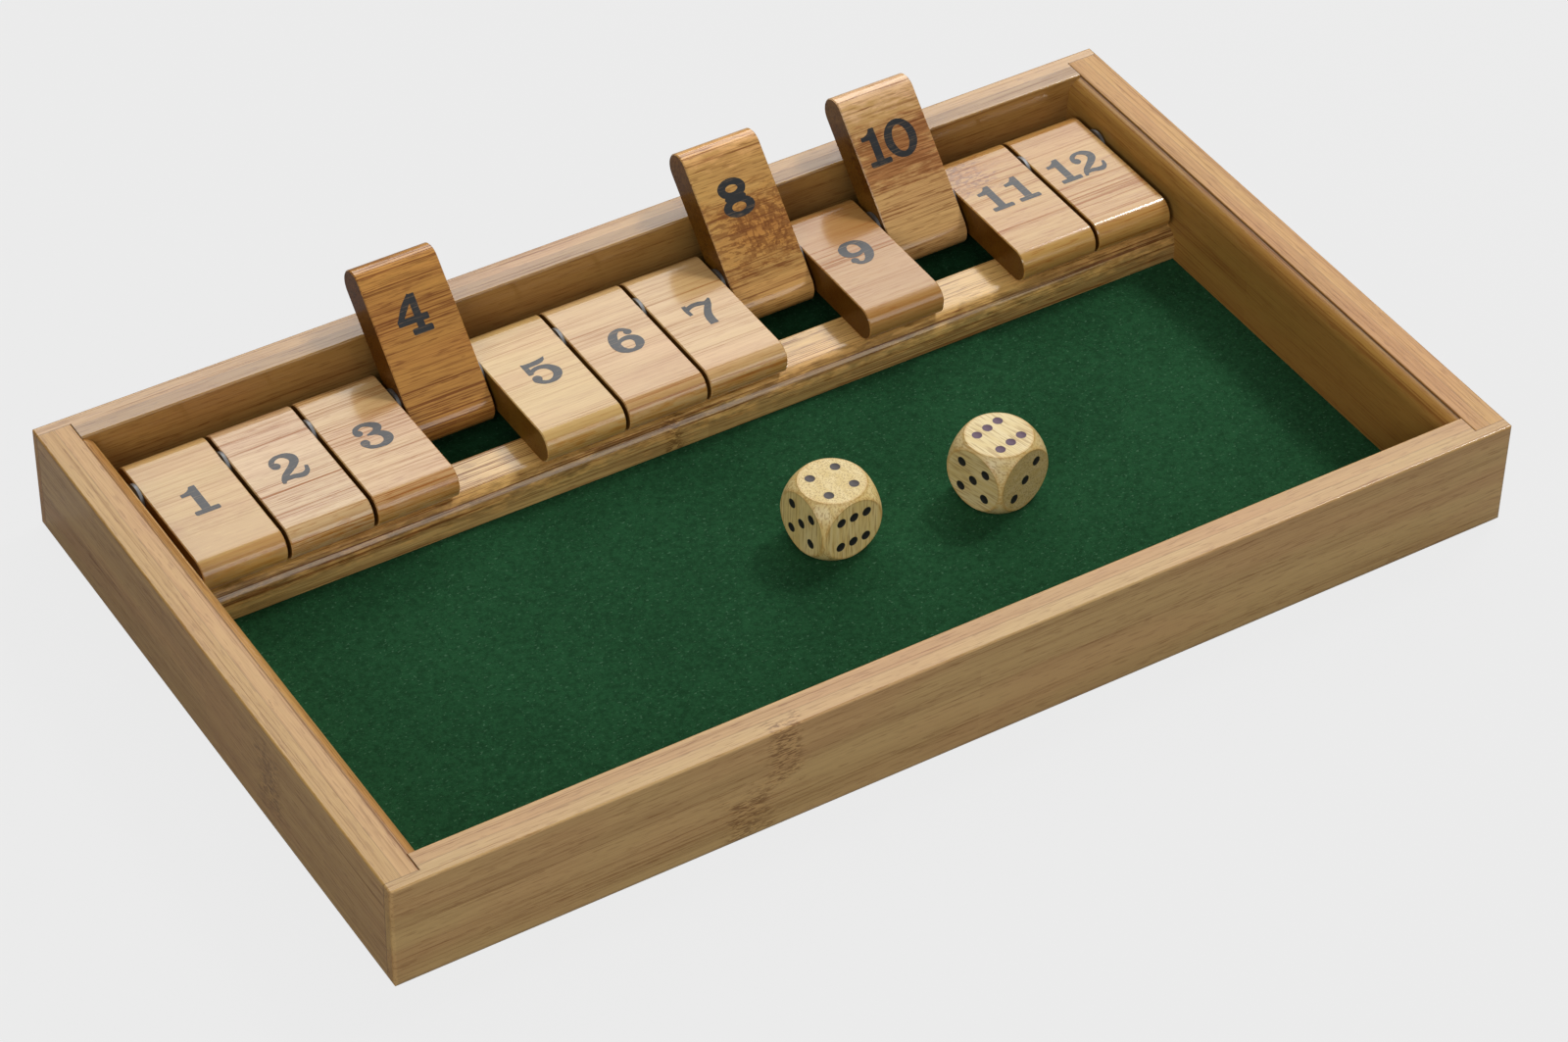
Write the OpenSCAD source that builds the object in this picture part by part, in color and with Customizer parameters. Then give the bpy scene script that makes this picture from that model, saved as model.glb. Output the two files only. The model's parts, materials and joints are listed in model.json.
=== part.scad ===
// Shut the box game: a shallow bamboo tray lined with green felt, a row of twelve number tiles
// that swing on one steel rod, and two wooden dice.
// Millimetres. +X runs along the long side, +Y to the back wall and +Z up. The origin is on the
// table, under the middle of the tray.

/* [Tray] */
// Outside length of the tray, left to right
box_w = 340; // [330:1:400]
// Outside depth of the tray, front to back
box_d = 200; // [180:1:240]
// Height of the outer walls
box_h = 33.5; // [32:0.5:40]
// Thickness of the outer walls
wall_t = 10; // [9:0.5:12]
// Thickness of the lip on the front and back walls that covers the end of a side wall
lip_t = 3.4; // [2:0.2:5]
// Thickness of the base panel
base_t = 4; // [3:0.5:5]
// Width of the rebate under the walls that takes the base panel
base_rebate = 5; // [3:0.5:6]
// Thickness of the felt
felt_t = 1; // [0.8:0.1:1.5]

/* [Edges] */
// Rounding of the bottom outside edges
foot_r = 2; // [1:0.5:3]
// Rounding of the upright corners
corner_r = 1; // [0.5:0.5:2]
// Rounding of the top edges of the walls
rim_r = 0.6; // [0.3:0.1:1]
// Chamfer round the sides of a tile
tile_chamfer = 0.3; // [0.1:0.1:0.6]

/* [Liners] */
// Thickness of the strips that line the side walls and hold the rod
liner_t = 4; // [3:0.5:6]
// Drop from the top of the walls to the top of the liners
liner_drop = 0.5; // [0.5:0.5:4]
// Radius of the rounded top of a liner
liner_r = 5; // [4:0.5:8]

/* [Tiles] */
// Length of a tile, front to back
tile_l = 51.4; // [46:0.2:56]
// Thickness of a tile
tile_t = 10; // [9.5:0.5:11]
// Gap between the back end of the tiles and the back wall
tile_back_gap = 4; // [3:0.5:6]
// Distance from the back end of a tile to the middle of the rod
rod_inset = 13; // [11:0.1:14]
// Distance from the top face of a tile to the middle of the rod
rod_depth = 3.8; // [3.6:0.1:5]
// Gap between the left liner and the first washer of the row
row_left_gap = 2.28; // [0.4:0.01:4]
// Gap between the right liner and the last washer of the row
row_right_gap = 0.8; // [0.4:0.1:4]
// Numbers of the tiles that stand raised
raised_tiles = [4, 8, 10]; // [1:1:12]

/* [Tile rail] */
// Height of the rail that the free ends of the tiles rest on
rail_h = 10.2; // [9:0.1:11]
// Depth of the rail, front to back
rail_w = 16; // [10:0.5:18]
// How far the rail stands out in front of the tiles
rail_lead = 0.5; // [0:0.1:3]
// Rounding of the front top edge of the rail
rail_r = 5.5; // [2:0.5:6]
// Rounding of the other long edges of the rail
rail_edge_r = 0.6; // [0.3:0.1:1]

/* [Rod and washers] */
// Diameter of the rod
rod_d = 4; // [3:0.2:4.4]
// Radial clearance of a tile on the rod
bore_gap = 0.08; // [0.03:0.01:0.1]
// Outside diameter of a washer
washer_d = 9.2; // [8:0.2:11]
// Radial clearance of a washer on the rod
washer_bore_gap = 0.15; // [0.05:0.05:0.3]
// Thickness of a washer
washer_t = 0.9; // [0.6:0.1:1.6]
// Side play on each face of a washer
washer_play = 0.14; // [0.08:0.02:0.3]

/* [Dice] */
// Edge of a die
die_s = 20; // [14:0.5:22]
// Diameter of the sphere that rounds the corners of a die
die_ball_d = 27.4; // [26:0.2:30]
// Distance between the corner pips of a face
pip_pitch = 8.4; // [6:0.2:9]
// Diameter of a pip
pip_d = 3; // [2:0.1:3.4]
// Depth of a pip
pip_depth = 0.35; // [0.2:0.05:0.6]
// Place of the left die on the felt
die_left_at = [6.8, -17.9]; // [-60:0.1:60]
// Turn of the left die
die_left_turn = 5; // [-45:1:45]
// Place of the right die on the felt
die_right_at = [55.5, -24.8]; // [-60:0.1:60]
// Turn of the right die
die_right_turn = 15; // [-45:1:45]

/* [Hidden] */
$fn = 64;
// Overshoot of a cutter past the face it cuts
over = 1;
// Gap left under a piece that rests on another
rest_gap = 0.05;
tile_count = 12;

// Faces of the tray
half_w = box_w / 2;
half_d = box_d / 2;
inner_w = half_w - wall_t;
inner_d = half_d - wall_t;
bay_w = inner_w - liner_t;
felt_top = base_t + felt_t;

// Row of tiles
washer_gap = washer_t + 2 * washer_play;
row_w = 2 * bay_w - row_left_gap - row_right_gap;
tile_w = (row_w - (tile_count + 1) * washer_gap) / tile_count;
tile_pitch = tile_w + washer_gap;
row_left = -bay_w + row_left_gap + washer_gap;
tile_r = tile_t / 2;
tile_back = inner_d - tile_back_gap;
tile_front = tile_back - tile_l;
rail_top = felt_top + rail_h;
tile_bottom = rail_top + rest_gap;
rod_y = tile_back - rod_inset;
rod_z = tile_bottom + tile_t - rod_depth;

// A raised tile leans on the rounded inner edge at the top of the back wall
edge_y = inner_d + rim_r - rod_y;
edge_z = box_h - rim_r - rod_z;
lean = atan2(edge_z, edge_y) + asin((rod_depth + rim_r + rest_gap) / norm([edge_y, edge_z]));
raised_angle = 180 - lean;

bamboo = [0.80, 0.62, 0.38];
bamboo_dark = [0.66, 0.46, 0.24];
steel = [0.75, 0.76, 0.78];

function tile_left(number) = row_left + (number - 1) * tile_pitch;
function is_raised(number) = len(search(number, raised_tiles)) > 0;

// Waste outside a rounded corner whose point is at the origin and whose body lies in +X +Y
module corner_waste(radius) {
    difference() {
        translate([-over, -over]) square(radius + over);
        translate([radius, radius]) circle(radius);
    }
}

// Cross-section of a wall, with its outer face on X = 0 and its foot on Y = 0
module wall_section() {
    difference() {
        square([wall_t, box_h]);
        corner_waste(foot_r);
        translate([0, box_h]) mirror([0, 1]) corner_waste(rim_r);
        translate([wall_t, box_h]) rotate(180) corner_waste(rim_r);
    }
}

// Plan of the whole tray with its rounded upright corners
module tray_plan() {
    difference() {
        square([box_w, box_d], center = true);
        for (turn_x = [0, 1], turn_y = [0, 1])
            mirror([turn_x, 0]) mirror([0, turn_y])
                translate([-half_w, -half_d]) corner_waste(corner_r);
    }
}

// Outline of the tray seen from the front, with the same foot and rim as a wall
module tray_front() {
    difference() {
        translate([-half_w, 0]) square([box_w, box_h]);
        for (side = [0, 1])
            mirror([side, 0])
                translate([-half_w, 0]) {
                    corner_waste(foot_r);
                    translate([0, box_h]) mirror([0, 1]) corner_waste(rim_r);
                }
    }
}

module base_block() {
    size_x = box_w - 2 * (wall_t - base_rebate);
    size_y = box_d - 2 * (wall_t - base_rebate);
    translate([-size_x / 2, -size_y / 2, 0]) cube([size_x, size_y, base_t]);
}

// Front wall: full length, with a rebate at each end that takes the end of a side wall
module long_wall() {
    rebate_y = half_d - lip_t;
    difference() {
        intersection() {
            translate([-half_w, -half_d, 0]) rotate([90, 0, 90])
                linear_extrude(box_w) wall_section();
            linear_extrude(box_h) tray_plan();
            translate([0, over - inner_d, 0]) rotate([90, 0, 0])
                linear_extrude(wall_t + 2 * over) tray_front();
        }
        for (side = [0, 1])
            mirror([side, 0, 0])
                translate([inner_w, -rebate_y, -over])
                    cube([wall_t + over, wall_t, box_h + 2 * over]);
        translate([0, 0, -over]) base_block();
        base_block();
    }
}

// Right wall: it stands between the lips of the front and back walls
module short_wall() {
    length = box_d - 2 * lip_t;
    difference() {
        translate([half_w, -length / 2, 0]) rotate([90, 0, 180])
            linear_extrude(length) wall_section();
        translate([0, 0, -over]) base_block();
        base_block();
    }
}

module front_wall() {
    color(bamboo) long_wall();
}

module back_wall() {
    color(bamboo) mirror([0, 1, 0]) long_wall();
}

module right_wall() {
    color(bamboo) short_wall();
}

module left_wall() {
    color(bamboo) mirror([1, 0, 0]) short_wall();
}

// Right liner: a strip on the base panel, rounded along the top, with a hole for the rod
module liner() {
    height = box_h - liner_drop - base_t;
    difference() {
        translate([bay_w, inner_d, base_t]) rotate([90, 0, 0])
            linear_extrude(2 * inner_d)
                difference() {
                    square([liner_t, height]);
                    translate([0, height]) mirror([0, 1]) corner_waste(liner_r);
                }
        translate([bay_w - over, rod_y, rod_z]) rotate([0, 90, 0])
            cylinder(d = rod_d, h = liner_t + 2 * over);
    }
}

module right_liner() {
    color(bamboo) liner();
}

module left_liner() {
    color(bamboo) mirror([1, 0, 0]) liner();
}

module base_panel() {
    color(bamboo_dark) base_block();
}

module felt_baize() {
    color([0.10, 0.27, 0.16])
        translate([-bay_w, -inner_d, base_t]) cube([2 * bay_w, 2 * inner_d, felt_t]);
}

// Rail that the free ends of the tiles rest on, glued down on the felt
module tile_rail() {
    color(bamboo_dark)
        translate([-bay_w, tile_front - rail_lead, felt_top]) rotate([90, 0, 90])
            linear_extrude(2 * bay_w)
                difference() {
                    square([rail_w, rail_h]);
                    corner_waste(rail_edge_r);
                    translate([0, rail_h]) mirror([0, 1]) corner_waste(rail_r);
                    translate([rail_w, rail_h]) rotate(180) corner_waste(rail_edge_r);
                }
}

// Rod through both liners, held in endwise by the side walls
module hinge_rod() {
    color(steel)
        translate([-inner_w, rod_y, rod_z]) rotate([0, 90, 0])
            cylinder(d = rod_d, h = 2 * inner_w);
}

// Washers on each side of every tile, hanging on the rod
module spacer_washers() {
    bore_d = rod_d + 2 * washer_bore_gap;
    color(steel)
        for (number = [1:tile_count + 1])
            translate([tile_left(number) - washer_gap / 2, rod_y, rod_z - washer_bore_gap])
                rotate([0, 90, 0])
                    difference() {
                        cylinder(d = washer_d, h = washer_t, center = true);
                        cylinder(d = bore_d, h = washer_t + 2 * over, center = true);
                    }
}

// Round end of a tile: a short cylinder across the tile with chamfered rims
module tile_end() {
    rotate([0, 90, 0]) {
        cylinder(r1 = tile_r - tile_chamfer, r2 = tile_r, h = tile_chamfer);
        translate([0, 0, tile_chamfer])
            cylinder(r = tile_r, h = tile_w - 2 * tile_chamfer);
        translate([0, 0, tile_w - tile_chamfer])
            cylinder(r1 = tile_r, r2 = tile_r - tile_chamfer, h = tile_chamfer);
    }
}

// Tile lying flat, measured from the rod, with its left side on X = 0
module flat_tile() {
    middle_z = rod_depth - tile_r;
    difference() {
        union() {
            translate([0, rod_inset - tile_r, middle_z]) tile_end();
            translate([0, rod_inset - tile_l + tile_r, middle_z]) tile_end();
            translate([0, rod_inset - tile_r, middle_z]) rotate([90, 0, 0])
                linear_extrude(tile_l - 2 * tile_r)
                    polygon([
                        [tile_chamfer, -tile_r], [tile_w - tile_chamfer, -tile_r],
                        [tile_w, -tile_r + tile_chamfer], [tile_w, tile_r - tile_chamfer],
                        [tile_w - tile_chamfer, tile_r], [tile_chamfer, tile_r],
                        [0, tile_r - tile_chamfer], [0, -tile_r + tile_chamfer]
                    ]);
        }
        translate([-over, 0, 0]) rotate([0, 90, 0])
            cylinder(r = rod_d / 2 + bore_gap, h = tile_w + 2 * over);
    }
}

module tile(number) {
    color(bamboo)
        translate([tile_left(number), rod_y, rod_z])
            rotate([is_raised(number) ? -raised_angle : 0, 0, 0])
                flat_tile();
}

// Pips of one face, in half pitches from its middle
function face_pips(value) =
    value == 1 ? [[0, 0]] :
    value == 2 ? [[-1, 1], [1, -1]] :
    value == 3 ? [[-1, -1], [0, 0], [1, 1]] :
    value == 4 ? [[-1, -1], [-1, 1], [1, -1], [1, 1]] :
    value == 5 ? [[-1, -1], [-1, 1], [0, 0], [1, -1], [1, 1]] :
    [[-1, -1], [0, -1], [1, -1], [-1, 1], [0, 1], [1, 1]];

// Ball-shaped hollows of one face, on the plane Z = half a die
module pip_hollows(value) {
    ball_r = (pow(pip_d / 2, 2) + pow(pip_depth, 2)) / (2 * pip_depth);
    for (place = face_pips(value))
        translate([place[0] * pip_pitch / 2, place[1] * pip_pitch / 2,
                die_s / 2 + ball_r - pip_depth])
            sphere(r = ball_r);
}

// Die with its top, front and left values given; opposite faces add up to seven
module die(top, front, left) {
    color([0.90, 0.78, 0.52])
        difference() {
            intersection() {
                cube(die_s, center = true);
                sphere(d = die_ball_d);
            }
            pip_hollows(top);
            rotate([180, 0, 0]) pip_hollows(7 - top);
            rotate([90, 0, 0]) pip_hollows(front);
            rotate([-90, 0, 0]) pip_hollows(7 - front);
            rotate([0, -90, 0]) pip_hollows(left);
            rotate([0, 90, 0]) pip_hollows(7 - left);
        }
}

module die_left() {
    translate([die_left_at[0], die_left_at[1], felt_top + rest_gap + die_s / 2])
        rotate(die_left_turn) die(top = 4, front = 6, left = 5);
}

module die_right() {
    translate([die_right_at[0], die_right_at[1], felt_top + rest_gap + die_s / 2])
        rotate(die_right_turn) die(top = 6, front = 3, left = 5);
}

front_wall();
back_wall();
left_wall();
right_wall();
left_liner();
right_liner();
base_panel();
felt_baize();
tile_rail();
hinge_rod();
spacer_washers();
tile(1);  // tile_1
tile(2);  // tile_2
tile(3);  // tile_3
tile(4);  // tile_4
tile(5);  // tile_5
tile(6);  // tile_6
tile(7);  // tile_7
tile(8);  // tile_8
tile(9);  // tile_9
tile(10);  // tile_10
tile(11);  // tile_11
tile(12);  // tile_12
die_left();
die_right();
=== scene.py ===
# %% [markdown]
# # Shut the box: from a bare model to a finished object
# The tray, its twelve hinged number tiles, the steel rod with its washers and the two dice
# come ready made at their real size. This lesson gives them their looks: laminated bamboo
# under lacquer, printed numerals, bright steel, green felt and two wooden dice.
# Blender counts in metres, so a millimetre is written down once and multiplied.

# %% Load the model
import json
import math

import bmesh
import bpy
from mathutils import Matrix, Quaternion, Vector, noise
from mathutils.geometry import delaunay_2d_cdt


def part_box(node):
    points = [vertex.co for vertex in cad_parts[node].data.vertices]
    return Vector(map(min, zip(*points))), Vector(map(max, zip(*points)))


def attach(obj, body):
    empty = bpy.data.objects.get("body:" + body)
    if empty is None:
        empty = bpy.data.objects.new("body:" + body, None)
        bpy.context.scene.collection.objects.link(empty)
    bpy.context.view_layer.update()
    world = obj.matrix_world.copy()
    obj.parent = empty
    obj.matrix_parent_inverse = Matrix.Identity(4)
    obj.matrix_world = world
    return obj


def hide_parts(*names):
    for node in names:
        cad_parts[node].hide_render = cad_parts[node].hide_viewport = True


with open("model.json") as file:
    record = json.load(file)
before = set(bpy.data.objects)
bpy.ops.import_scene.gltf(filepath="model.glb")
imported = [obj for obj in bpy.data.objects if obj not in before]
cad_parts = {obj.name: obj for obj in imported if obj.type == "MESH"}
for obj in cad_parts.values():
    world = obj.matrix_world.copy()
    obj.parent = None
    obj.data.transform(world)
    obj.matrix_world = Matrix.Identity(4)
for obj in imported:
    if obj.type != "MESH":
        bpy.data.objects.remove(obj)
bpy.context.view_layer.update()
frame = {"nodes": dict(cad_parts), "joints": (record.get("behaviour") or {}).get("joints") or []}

MM = 0.001
parts = frame["nodes"]


def in_mm(lengths, digits=1):
    """Lengths in millimetres, rounded for printing."""
    return [round(v / MM, digits) for v in lengths]


# %% [markdown]
# ## Where things are
# A finish often has to know where it is: the numerals sit so far from the rod, and the joint
# line of a corner lies where two boards meet. All of that is read from the model here, once,
# so that a changed size carries through to the looks.

# %% Places and sizes
tray_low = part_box("front_wall")[0]
# The side walls end where the lips of the long walls begin, and the liners stand against them.
lip_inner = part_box("left_wall")[1].y
wall_inner = abs(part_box("left_liner")[0].x)
felt_low, felt_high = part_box("felt_baize")
rod_low, rod_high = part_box("hinge_rod")
rod = (rod_low + rod_high) / 2

TILES = range(1, 13)
swings = {j["child"]: j["range_deg"] for j in frame["joints"] if j["type"] == "hinge"}
raise_angle = {n: math.radians(-swings[f"tile_{n}"][0]) for n in TILES}
raised = [n for n in TILES if raise_angle[n] > 0]
lean = 180 - math.degrees(raise_angle[raised[0]])
flat_low, flat_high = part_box("tile_1")
tile_middle = {n: sum(c.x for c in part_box(f"tile_{n}")) / 2 for n in TILES}
print("raised tiles:", raised, "| leaning back by", round(lean, 1), "degrees")

# %% [markdown]
# ## The camera
# A product shot from a little way off, with a long lens: it keeps the box's edges almost
# parallel. The camera is placed by where it aims, from which side and how far away, and it is
# rolled by a degree, which is easier to read than a rotation in three angles.

# %% Set the camera
CAMERA_AIM = Vector((2.75, -1.03, 0)) * MM
CAMERA_SIDE = math.radians(32.58)
CAMERA_HEIGHT = math.radians(41.23)
CAMERA_ROLL = math.radians(1.238)
CAMERA_DISTANCE = 1.3231
CAMERA_LENS = 112.23
CAMERA_SIGHT = 20.0


def add_object(name, data):
    """A new object in the scene."""
    made = bpy.data.objects.new(name, data)
    bpy.context.scene.collection.objects.link(made)
    return made


def aim(made, direction, roll=0.0):
    """Turns a camera or a lamp to look in a direction."""
    made.rotation_mode = "QUATERNION"
    made.rotation_quaternion = direction.to_track_quat("-Z", "Y") @ Quaternion((0, 0, 1), roll)


look = Vector((
    math.sin(CAMERA_SIDE) * math.cos(CAMERA_HEIGHT),
    math.cos(CAMERA_SIDE) * math.cos(CAMERA_HEIGHT),
    -math.sin(CAMERA_HEIGHT),
))
camera = add_object("camera", bpy.data.cameras.new("camera"))
camera.location = CAMERA_AIM - look * CAMERA_DISTANCE
aim(camera, look, CAMERA_ROLL)
camera.data.lens = CAMERA_LENS
camera.data.clip_end = CAMERA_SIGHT
bpy.context.scene.camera = camera
print("camera at", [round(v, 3) for v in camera.location])

# %% [markdown]
# ## Building materials from nodes
# Every finish here is worked out by shader nodes from the place on the surface, so it has no
# picture behind it and never runs out of detail. The helpers keep the graphs short: one adds
# a node and fills its inputs, and the others are the few sums and mixes that every finish
# needs.

# %% Helpers for sums
def put(tree, kind, inputs=None, **settings):
    """Adds a shader node with its settings; each input gets a value, or a link if it is a socket."""
    made = tree.nodes.new("ShaderNode" + kind)
    for name, value in settings.items():
        setattr(made, name, value)
    for name, value in (inputs or {}).items():
        if isinstance(value, bpy.types.NodeSocket):
            tree.links.new(value, made.inputs[name])
        else:
            made.inputs[name].default_value = value
    return made


def calc(tree, operation, *values):
    """A sum on numbers."""
    return put(tree, "Math", dict(enumerate(values)), operation=operation).outputs[0]


def vector_calc(tree, operation, *values):
    """A sum on points."""
    return put(tree, "VectorMath", dict(enumerate(values)), operation=operation).outputs[0]


def times(tree, first, second):
    """Two numbers multiplied."""
    return calc(tree, "MULTIPLY", first, second)


def minus(tree, first, second):
    """The second number taken from the first."""
    return calc(tree, "SUBTRACT", first, second)


def total(tree, first, *others):
    """Several numbers added up."""
    for value in others:
        first = calc(tree, "ADD", first, value)
    return first


def linear(tree, value, start, gain):
    """A value that starts at one number and gains on it."""
    return calc(tree, "ADD", start, times(tree, value, gain))


def swing(tree, value, reach):
    """Turns noise from 0 to 1 into a swing to both sides of 0."""
    return times(tree, minus(tree, value, 0.5), reach)


def remap(tree, value, low, high, to_low=0.0, to_high=1.0):
    """Turns the range from low to high into the range from to_low to to_high, with soft ends."""
    inputs = {0: value, 1: low, 2: high, 3: to_low, 4: to_high}
    return put(tree, "MapRange", inputs, interpolation_type="SMOOTHSTEP").outputs[0]


print("sums ready")

# %% [markdown]
# ## Points, noise and colours
# A pattern starts from a point on the object, and noise turns it into spots. Noise is asked
# for by the size of its spots in millimetres, along X, Y and Z, because that is how a maker
# thinks of grain: a fibre is a spot that is very long and very thin. A colour is then mixed
# with another one, tinted, or darkened where a mask says so.

# %% Helpers for points, noise and colours
def surface_point(tree):
    """The point on the object."""
    return put(tree, "TexCoord").outputs["Object"]


def split(tree, vector):
    """The three numbers of a point."""
    return put(tree, "SeparateXYZ", {0: vector}).outputs


def sizes_of(tree, vector):
    """How far a point is from 0 along X, Y and Z."""
    return split(tree, vector_calc(tree, "ABSOLUTE", vector))


def largest(tree, values):
    """The largest of three numbers."""
    return calc(tree, "MAXIMUM", calc(tree, "MAXIMUM", values[0], values[1]), values[2])


def unit_noise(tree, point, detail, roughness):
    """Noise whose spots are one unit long."""
    inputs = {"Vector": point, "Scale": 1.0, "Detail": detail, "Roughness": roughness}
    return put(tree, "TexNoise", inputs).outputs["Fac"]


def spots(tree, point, size, detail=2.0, roughness=0.55):
    """Noise whose spots have the given length in millimetres along X, Y and Z."""
    scaled = vector_calc(tree, "MULTIPLY", point, [1 / (s * MM) for s in size])
    return unit_noise(tree, scaled, detail, roughness)


def mix(tree, share, first, second, kind="MIX"):
    """The first colour, with a share of the second in it. Sockets 6, 7 and 2 are the colour ones."""
    return put(tree, "Mix", {0: share, 6: first, 7: second}, data_type="RGBA", blend_type=kind).outputs[2]


def tint(tree, share, colour, stain):
    """The colour, stained where the share is 1."""
    return mix(tree, share, colour, mix(tree, 1.0, colour, stain, "MULTIPLY"))


print("points, noise and colours ready")

# %% [markdown]
# ## Groups and materials
# A pattern that several finishes use is a node group with named inputs and outputs. A material
# has one Principled shader. What is the same all over the surface, such as the roughness of
# the lacquer, is set on that shader itself, and only what changes is linked to it.

# %% Helpers for groups and materials
def new_group(name, inputs, outputs):
    """An empty node group with named inputs (name, kind, value) and outputs (name, kind)."""
    group = bpy.data.node_groups.new(name, "ShaderNodeTree")
    for title, kind, value in inputs:
        socket = group.interface.new_socket(title, in_out="INPUT", socket_type="NodeSocket" + kind)
        if value is not None:
            socket.default_value = value
    for title, kind in outputs:
        group.interface.new_socket(title, in_out="OUTPUT", socket_type="NodeSocket" + kind)
    return group, group.nodes.new("NodeGroupInput").outputs, group.nodes.new("NodeGroupOutput").inputs


def place_group(tree, group, inputs):
    """Puts a node group into a tree."""
    return put(tree, "Group", inputs, node_tree=group).outputs


def seeded(group, given, step):
    """The group's point moved away by a step for each seed, and how far it was moved."""
    offset = put(group, "VectorMath", {0: step, "Scale": given["Seed"]}, operation="SCALE").outputs[0]
    return vector_calc(group, "ADD", given["Point"], offset), offset


def new_material(name, **shader_values):
    """A material with one Principled shader, whose fixed values are set on its own sockets."""
    material = bpy.data.materials.new(name)
    material.use_nodes = True
    shader = material.node_tree.nodes["Principled BSDF"]
    for socket, value in shader_values.items():
        shader.inputs[socket.replace("_", " ")].default_value = value
    return material, material.node_tree, shader


def feed(tree, shader, **values):
    """Links values that change over the surface to the shader."""
    for socket, value in values.items():
        tree.links.new(value, shader.inputs[socket.replace("_", " ")])


def bumped(tree, shader, height, depth):
    """Feeds a height from 0 to 1 to the shader as bumps of that depth."""
    bump = put(tree, "Bump", {"Height": height, "Distance": depth, "Strength": 1.0})
    feed(tree, shader, Normal=bump.outputs[0])


def finish_with(material, *names):
    """Gives a material to loaded pieces."""
    for name in names:
        slots = parts[name].data.materials
        slots.clear()
        slots.append(material)


print("groups and materials ready")

# %% [markdown]
# ## The floor
# The object stands on a plain pale floor. The floor takes the object's soft shadow as a real
# surface would, and to the camera it also shows its own pale colour, so the background stays
# light without any more light on the object.

# %% Floor
FLOOR_SIZE = 12.0
FLOOR_DROP = 0.05 * MM
BACKGROUND = (0.897, 0.897, 0.897, 1)
FLOOR_ALBEDO = (0.27, 0.27, 0.27, 1)
SHADOW_SHARE = 0.10
GLOSSY_SHARE = 0.14


def make_floor_material():
    """A matt floor that also shows its own pale colour to the camera, and a little to gloss."""
    material, tree, shader = new_material("pale_floor", Base_Color=FLOOR_ALBEDO, Roughness=0.9,
                                          Specular_IOR_Level=0.0)
    pale = put(tree, "Emission", {"Color": BACKGROUND, "Strength": 1.0})
    rays = put(tree, "LightPath").outputs
    seen = calc(tree, "MAXIMUM", rays["Is Camera Ray"], times(tree, rays["Is Glossy Ray"], GLOSSY_SHARE))
    share = times(tree, seen, 1 - SHADOW_SHARE)
    both = put(tree, "MixShader", {0: share, 1: shader.outputs[0], 2: pale.outputs[0]})
    tree.links.new(both.outputs[0], tree.nodes["Material Output"].inputs["Surface"])
    return material


def make_floor():
    """A big flat floor under the object."""
    mesh = bpy.data.meshes.new("floor")
    half = FLOOR_SIZE / 2
    corners = [(-half, -half, 0), (half, -half, 0), (half, half, 0), (-half, half, 0)]
    mesh.from_pydata(corners, [], [(0, 1, 2, 3)])
    mesh.materials.append(make_floor_material())
    floor = add_object("floor", mesh)
    floor.location.z = -FLOOR_DROP


make_floor()
print("floor", FLOOR_SIZE, "m wide")

# %% [markdown]
# ## The light
# A small soft lamp on the right, a little behind, casts the shadows. A wide panel behind the
# tray is what the lacquer of the tiles mirrors, and that gives them their sheen. Two fills
# from the left and the front open up the dark sides, and a low panel at the front right draws
# a line of light along the rounded edges of the rail and the tiles. The sky adds a little.
# A lamp is easiest to place as a photographer does it: by its side, its height and how far
# away it stands, always facing the tray.

# %% Lamps and sky
# Of each lamp: its side in degrees from +X towards +Y, its height in degrees, how far away it
# stands and its size in metres, and its power in watts.
LAMPS = {
    "key_lamp": (16, 50, 1.6, (0.30, 0.30), 10.5),
    "back_panel": (60, 42, 2.0, (2.0, 1.2), 21),
    "left_fill": (214, 28, 1.8, (1.0, 0.8), 10),
    "front_fill": (262, 55, 1.8, (1.0, 1.0), 5.7),
    "low_panel": (292, 27, 1.8, (0.7, 0.8), 3.2),
}
SKY_LIGHT = 0.03


def soft_lamp(name, side, height, distance, size, power):
    """A rectangular soft lamp that faces the tray."""
    lamp = add_object(name, bpy.data.lights.new(name, "AREA"))
    lamp.data.shape = "RECTANGLE"
    lamp.data.size, lamp.data.size_y = size
    lamp.data.energy = power
    turn, up = math.radians(side), math.radians(height)
    away = Vector((math.cos(turn) * math.cos(up), math.sin(turn) * math.cos(up), math.sin(up)))
    lamp.location = away * distance
    aim(lamp, -away)


for name, settings in LAMPS.items():
    soft_lamp(name, *settings)

world = bpy.data.worlds.new("sky")
bpy.context.scene.world = world
world.use_nodes = True
sky = world.node_tree.nodes["Background"].inputs
sky["Color"].default_value = (1.0, 1.0, 1.0, 1)
sky["Strength"].default_value = SKY_LIGHT
bpy.context.scene.view_settings.view_transform = "Standard"
print("lamps:", ", ".join(LAMPS))

# %% [markdown]
# ## Bamboo
# The tray is glued up from narrow bamboo strips, planed and lacquered. Seen close, bamboo is
# a bundle of straight fibres: fine pale and dark streaks that run the length of the strip, and
# short dark dashes where a bundle of vessels is cut. Each strip has its own tone. All of this
# is one node group, used by every board and tile with its own seed and colours. It works on a
# point whose X runs along the grain, so each material only has to turn its point that way.

# %% What the grain is made of
# Of each pattern: the size of its spots in mm along and across the fibres, its detail and its
# roughness.
WANDER = ((90, 30, 30), 1.0)
FIBRES = ((16, 0.5, 0.5), 3.0, 0.75)
LINES = ((190, 0.62, 0.62), 2.0, 0.7)
HAIRS = ((26, 0.5, 0.5), 2.0)
DASHES = ((6, 0.6, 0.6), 1.0)
BANDS = ((160, 4.0, 4.0), 2.0)
CLOUDS = ((60, 14, 14), 1.0)

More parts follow.
